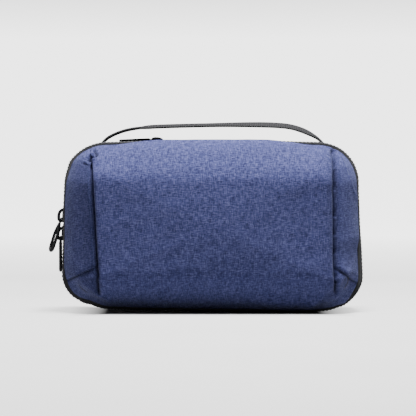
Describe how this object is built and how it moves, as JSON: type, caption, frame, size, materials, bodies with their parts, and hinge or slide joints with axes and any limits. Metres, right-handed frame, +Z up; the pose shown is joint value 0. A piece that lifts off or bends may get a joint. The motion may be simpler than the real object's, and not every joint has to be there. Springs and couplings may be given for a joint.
{
  "type": "cable organizer pouch",
  "caption": "Soft zip-around pouch that opens like a book on a cloth spine, with a webbing top handle, a top-zip rear pocket, elastic cable loops and a mesh pocket.",
  "frame": {"origin": "on the floor, at the middle of the back binding's foot", "axes": "+X to the right along the pouch's length, +Y to the back, +Z up; the front faces -Y"},
  "size_m": [0.2534, 0.088, 0.152],
  "materials": {
    "blue_heather_cloth": "heather polyester weave, matte",
    "padding_foam": "soft foam, hidden inside the walls",
    "grey_lining": "smooth woven lining",
    "black_binding": "ribbed woven binding tape",
    "black_zip_tape": "woven zip tape",
    "black_zip_coil": "nylon coil",
    "black_metal": "satin black coating",
    "black_elastic": "ribbed elastic band",
    "black_mesh": "knitted mesh",
    "grey_webbing": "ribbed woven webbing"
  },
  "bodies": {
    "back_body": {"back_wall_cloth": "blue_heather_cloth", "back_panel_cloth": "blue_heather_cloth", "back_foam": "padding_foam", "back_lining": "grey_lining", "back_binding": "black_binding", "back_zip_tape": "black_zip_tape", "back_zip_coil": "black_zip_coil", "back_zip_stops": "black_metal", "spine_strip": "blue_heather_cloth", "divider_panel": "grey_lining", "small_elastic_loops": "black_elastic", "large_elastic_loops": "black_elastic", "pocket_zip_tapes": "black_zip_tape", "pocket_zip_coils": "black_zip_coil", "pocket_zip_stops": "black_metal", "handle_end_tabs": "grey_webbing"},
    "front_cover": {"front_centre_panel": "blue_heather_cloth", "front_left_panel": "blue_heather_cloth", "front_right_panel": "blue_heather_cloth", "front_left_gusset": "blue_heather_cloth", "front_right_gusset": "blue_heather_cloth", "front_foam": "padding_foam", "front_lining": "grey_lining", "front_binding": "black_binding", "front_zip_tape": "black_zip_tape", "front_zip_coil": "black_zip_coil", "front_zip_stops": "black_metal", "mesh_pocket": "black_mesh", "mesh_pocket_elastic": "black_elastic"},
    "handle": {"handle_webbing": "grey_webbing"},
    "upper_slider_body": {"upper_slider": "black_metal"},
    "upper_pull_body": {"upper_pull": "black_metal"},
    "lower_slider_body": {"lower_slider": "black_metal"},
    "lower_pull_body": {"lower_pull": "black_metal"},
    "pocket_slider_body": {"pocket_slider": "black_metal"},
    "pocket_pull_body": {"pocket_pull": "black_metal"}
  },
  "joints": [
    {"name": "cover_hinge", "type": "hinge", "parent": "back_body", "child": "front_cover", "pos_m": [0.1232, -0.011, 0], "axis": [0, 0, 1], "range_deg": [0, 172]},
    {"name": "handle_swing", "type": "hinge", "parent": "back_body", "child": "handle", "pos_m": [0, 0.0095, 0.14268], "axis": [1, 0, 0], "range_deg": [-22, 22]},
    {"name": "upper_slider_run", "type": "slide", "parent": "back_body", "child": "upper_slider_body", "axis": [0.0404, 0, 0.9992], "range_m": [0, 0.018]},
    {"name": "upper_pull_flip", "type": "hinge", "parent": "upper_slider_body", "child": "upper_pull_body", "pos_m": [-0.12316, -0.011, 0.0761], "axis": [0, 1, 0], "range_deg": [0, 150]},
    {"name": "lower_slider_run", "type": "slide", "parent": "back_body", "child": "lower_slider_body", "axis": [0.0404, 0, 0.9992], "range_m": [-0.026, 0]},
    {"name": "lower_pull_flip", "type": "hinge", "parent": "lower_slider_body", "child": "lower_pull_body", "pos_m": [-0.12377, -0.011, 0.0611], "axis": [0, 1, 0], "range_deg": [0, 24]},
    {"name": "pocket_slider_run", "type": "slide", "parent": "back_body", "child": "pocket_slider_body", "axis": [1, 0, 0], "range_m": [-0.021, 0.111]},
    {"name": "pocket_pull_flip", "type": "hinge", "parent": "pocket_slider_body", "child": "pocket_pull_body", "pos_m": [-0.048, 0.02, 0.1394], "axis": [0, 1, 0], "range_deg": [0, 172]}
  ]
}
